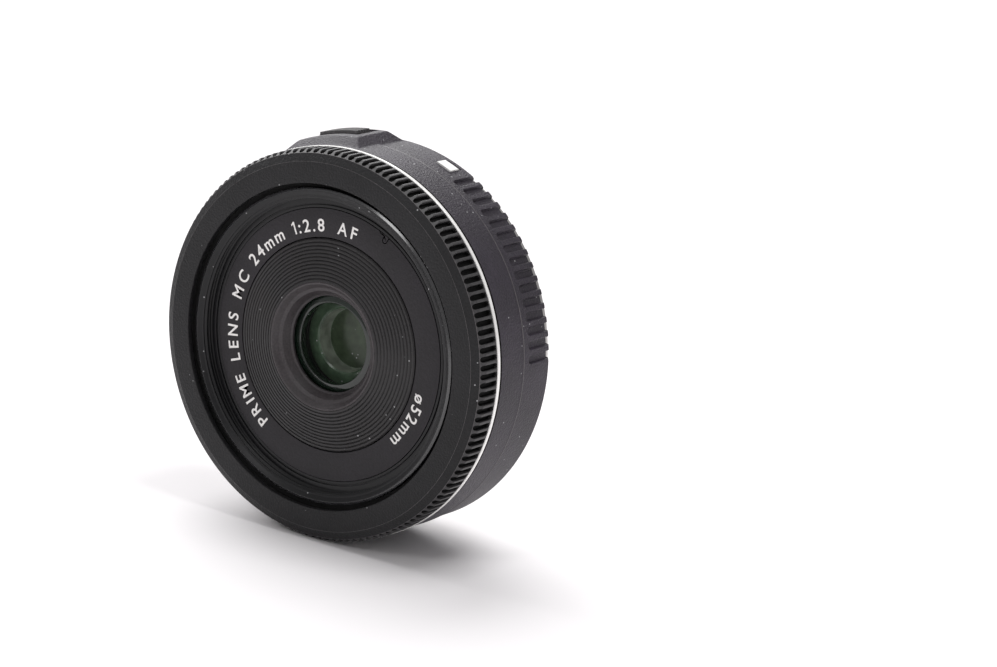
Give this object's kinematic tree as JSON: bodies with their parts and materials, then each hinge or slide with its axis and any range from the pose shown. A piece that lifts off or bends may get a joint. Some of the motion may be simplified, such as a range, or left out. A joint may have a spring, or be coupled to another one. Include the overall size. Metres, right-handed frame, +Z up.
{
  "type": "prime camera lens",
  "caption": "Slim wide-angle prime lens: ribbed focus ring, focus-mode switch, extending front barrel with filter thread, iris, and bayonet mount with contacts.",
  "frame": {"origin": "centre of the bayonet's seating plane, on the optical axis", "axes": "-Y points out of the front glass towards the subject, +Y into the camera; +Z is up as the lens stands on its rim, with the focus-mode switch on top"},
  "size_m": [0.0684, 0.0291, 0.0701],
  "materials": {
    "black_plastic": "fine grained matte polycarbonate",
    "ring_plastic": "fine grained matte polycarbonate, ribbed",
    "silver_trim": "bright turned aluminium",
    "mark_white": "white moulded plastic",
    "mount_metal": "satin nickel-plated brass or steel",
    "screw_steel": "zinc-plated steel",
    "dark_screw": "blackened steel",
    "contact_gold": "gold-plated brass",
    "frame_plastic": "glass-filled polycarbonate",
    "gear_plastic": "natural acetal",
    "rotor_metal": "brass pinion on a steel shaft",
    "motor_metal": "plated steel can",
    "board_green": "solder-masked circuit board",
    "chip_black": "moulded chip package",
    "flex_amber": "polyimide film",
    "felt_black": "light-trap felt",
    "cover_plastic": "satin black polycarbonate",
    "lens_glass": "multicoated optical glass",
    "blade_black": "black dry-lubricant coated steel shim",
    "follower_brass": "turned brass"
  },
  "bodies": {
    "barrel": {"outer_barrel": "black_plastic", "mount_index_mark": "mark_white", "switch_board": "board_green", "bayonet_mount": "mount_metal", "mount_screws": "screw_steel", "rear_light_baffle": "frame_plastic", "baffle_screws": "dark_screw", "contact_block": "chip_black", "contact_pins": "contact_gold", "contact_block_screws": "dark_screw", "contact_flex": "flex_amber", "guide_barrel": "frame_plastic", "rear_plate": "frame_plastic", "frame_screws": "dark_screw", "focus_ring_retainer": "frame_plastic", "retainer_screws": "dark_screw", "light_seal": "felt_black", "light_barriers": "chip_black", "focus_motor": "motor_metal", "gearbox_bracket": "frame_plastic", "bracket_screws": "screw_steel", "main_board": "board_green", "board_chips": "chip_black", "board_screws": "screw_steel"},
    "focus_ring_assembly": {"focus_ring": "ring_plastic", "silver_ring": "silver_trim", "encoder_comb": "frame_plastic"},
    "mode_switch": {"focus_mode_switch_knob": "black_plastic", "switch_slider": "frame_plastic", "switch_wiper": "contact_gold"},
    "cam_drive": {"cam_ring": "frame_plastic"},
    "reduction_gear": {"drive_gear": "gear_plastic"},
    "focus_rotor": {"focus_motor_rotor": "rotor_metal"},
    "optical_unit": {"inner_barrel": "black_plastic", "cam_followers": "follower_brass", "name_ring": "cover_plastic", "front_cover": "cover_plastic", "front_retainer": "dark_screw", "front_glass": "lens_glass", "lens_spacer": "frame_plastic", "second_glass": "lens_glass", "rear_cell": "frame_plastic", "doublet_front": "lens_glass", "doublet_rear": "lens_glass", "fifth_glass": "lens_glass", "rear_glass": "lens_glass", "rear_glass_retainer": "dark_screw", "aperture_base": "frame_plastic", "aperture_cover": "frame_plastic", "aperture_motor": "motor_metal", "aperture_screws": "dark_screw"},
    "stop_ring": {"aperture_ring": "gear_plastic"},
    "stop_rotor": {"aperture_motor_rotor": "rotor_metal"},
    "blade_1": {"aperture_blade_1": "blade_black"},
    "blade_2": {"aperture_blade_2": "blade_black"},
    "blade_3": {"aperture_blade_3": "blade_black"},
    "blade_4": {"aperture_blade_4": "blade_black"},
    "blade_5": {"aperture_blade_5": "blade_black"},
    "blade_6": {"aperture_blade_6": "blade_black"},
    "blade_7": {"aperture_blade_7": "blade_black"}
  },
  "joints": [
    {"name": "focus_ring_spin", "type": "hinge", "parent": "barrel", "child": "focus_ring_assembly", "pos_m": [0, -0.0192, 0], "axis": [0, -1, 0], "continuous": true},
    {"name": "mode_switch_slide", "type": "slide", "parent": "barrel", "child": "mode_switch", "axis": [0, 1, 0], "range_m": [0, 0.002]},
    {"name": "cam_ring_turn", "type": "hinge", "parent": "barrel", "child": "cam_drive", "pos_m": [0, -0.0117, 0], "axis": [0, -1, 0], "range_deg": [0, 110]},
    {"name": "optical_unit_slide", "type": "slide", "parent": "barrel", "child": "optical_unit", "axis": [0, -1, 0], "range_m": [0, 0.005]},
    {"name": "drive_gear_spin", "type": "hinge", "parent": "barrel", "child": "reduction_gear", "pos_m": [-0.02232, -0.005, -0.00812], "axis": [0, -1, 0], "range_deg": [-1, 981.8]},
    {"name": "focus_motor_spin", "type": "hinge", "parent": "barrel", "child": "focus_rotor", "pos_m": [-0.01823, -0.007, -0.01101], "axis": [0, -1, 0], "range_deg": [-2085.3, 1]},
    {"name": "aperture_ring_turn", "type": "hinge", "parent": "optical_unit", "child": "stop_ring", "pos_m": [0, -0.00945, 0], "axis": [0, -1, 0], "range_deg": [0, 18]},
    {"name": "aperture_motor_spin", "type": "hinge", "parent": "optical_unit", "child": "stop_rotor", "pos_m": [0.00534, -0.0095, 0.01466], "axis": [0, -1, 0], "range_deg": [-124, 1]},
    {"name": "blade_1_swing", "type": "hinge", "parent": "optical_unit", "child": "blade_1", "pos_m": [0.0102, -0.0081, 0], "axis": [0, -1, 0], "range_deg": [-0.2, 23.3]},
    {"name": "blade_2_swing", "type": "hinge", "parent": "optical_unit", "child": "blade_2", "pos_m": [0.00636, -0.00824, 0.00797], "axis": [0, -1, 0], "range_deg": [-0.2, 23.3]},
    {"name": "blade_3_swing", "type": "hinge", "parent": "optical_unit", "child": "blade_3", "pos_m": [-0.00227, -0.00838, 0.00994], "axis": [0, -1, 0], "range_deg": [-0.2, 23.3]},
    {"name": "blade_4_swing", "type": "hinge", "parent": "optical_unit", "child": "blade_4", "pos_m": [-0.00919, -0.00852, 0.00443], "axis": [0, -1, 0], "range_deg": [-0.2, 23.3]},
    {"name": "blade_5_swing", "type": "hinge", "parent": "optical_unit", "child": "blade_5", "pos_m": [-0.00919, -0.00866, -0.00443], "axis": [0, -1, 0], "range_deg": [-0.2, 23.3]},
    {"name": "blade_6_swing", "type": "hinge", "parent": "optical_unit", "child": "blade_6", "pos_m": [-0.00227, -0.0088, -0.00994], "axis": [0, -1, 0], "range_deg": [-0.2, 23.3]},
    {"name": "blade_7_swing", "type": "hinge", "parent": "optical_unit", "child": "blade_7", "pos_m": [0.00636, -0.00894, -0.00797], "axis": [0, -1, 0], "range_deg": [-0.2, 23.3]}
  ],
  "couplings": [
    {"joint": "optical_unit_slide", "follows": "cam_ring_turn", "m_per_rad": 0.0026044},
    {"joint": "drive_gear_spin", "follows": "cam_ring_turn", "ratio": 8.9167},
    {"joint": "focus_motor_spin", "follows": "cam_ring_turn", "ratio": -18.948},
    {"joint": "aperture_motor_spin", "follows": "aperture_ring_turn", "ratio": -6.8},
    {"joint": "blade_1_swing", "follows": "aperture_ring_turn", "ratio": 1.2778},
    {"joint": "blade_2_swing", "follows": "aperture_ring_turn", "ratio": 1.2778},
    {"joint": "blade_3_swing", "follows": "aperture_ring_turn", "ratio": 1.2778},
    {"joint": "blade_4_swing", "follows": "aperture_ring_turn", "ratio": 1.2778},
    {"joint": "blade_5_swing", "follows": "aperture_ring_turn", "ratio": 1.2778},
    {"joint": "blade_6_swing", "follows": "aperture_ring_turn", "ratio": 1.2778},
    {"joint": "blade_7_swing", "follows": "aperture_ring_turn", "ratio": 1.2778}
  ]
}
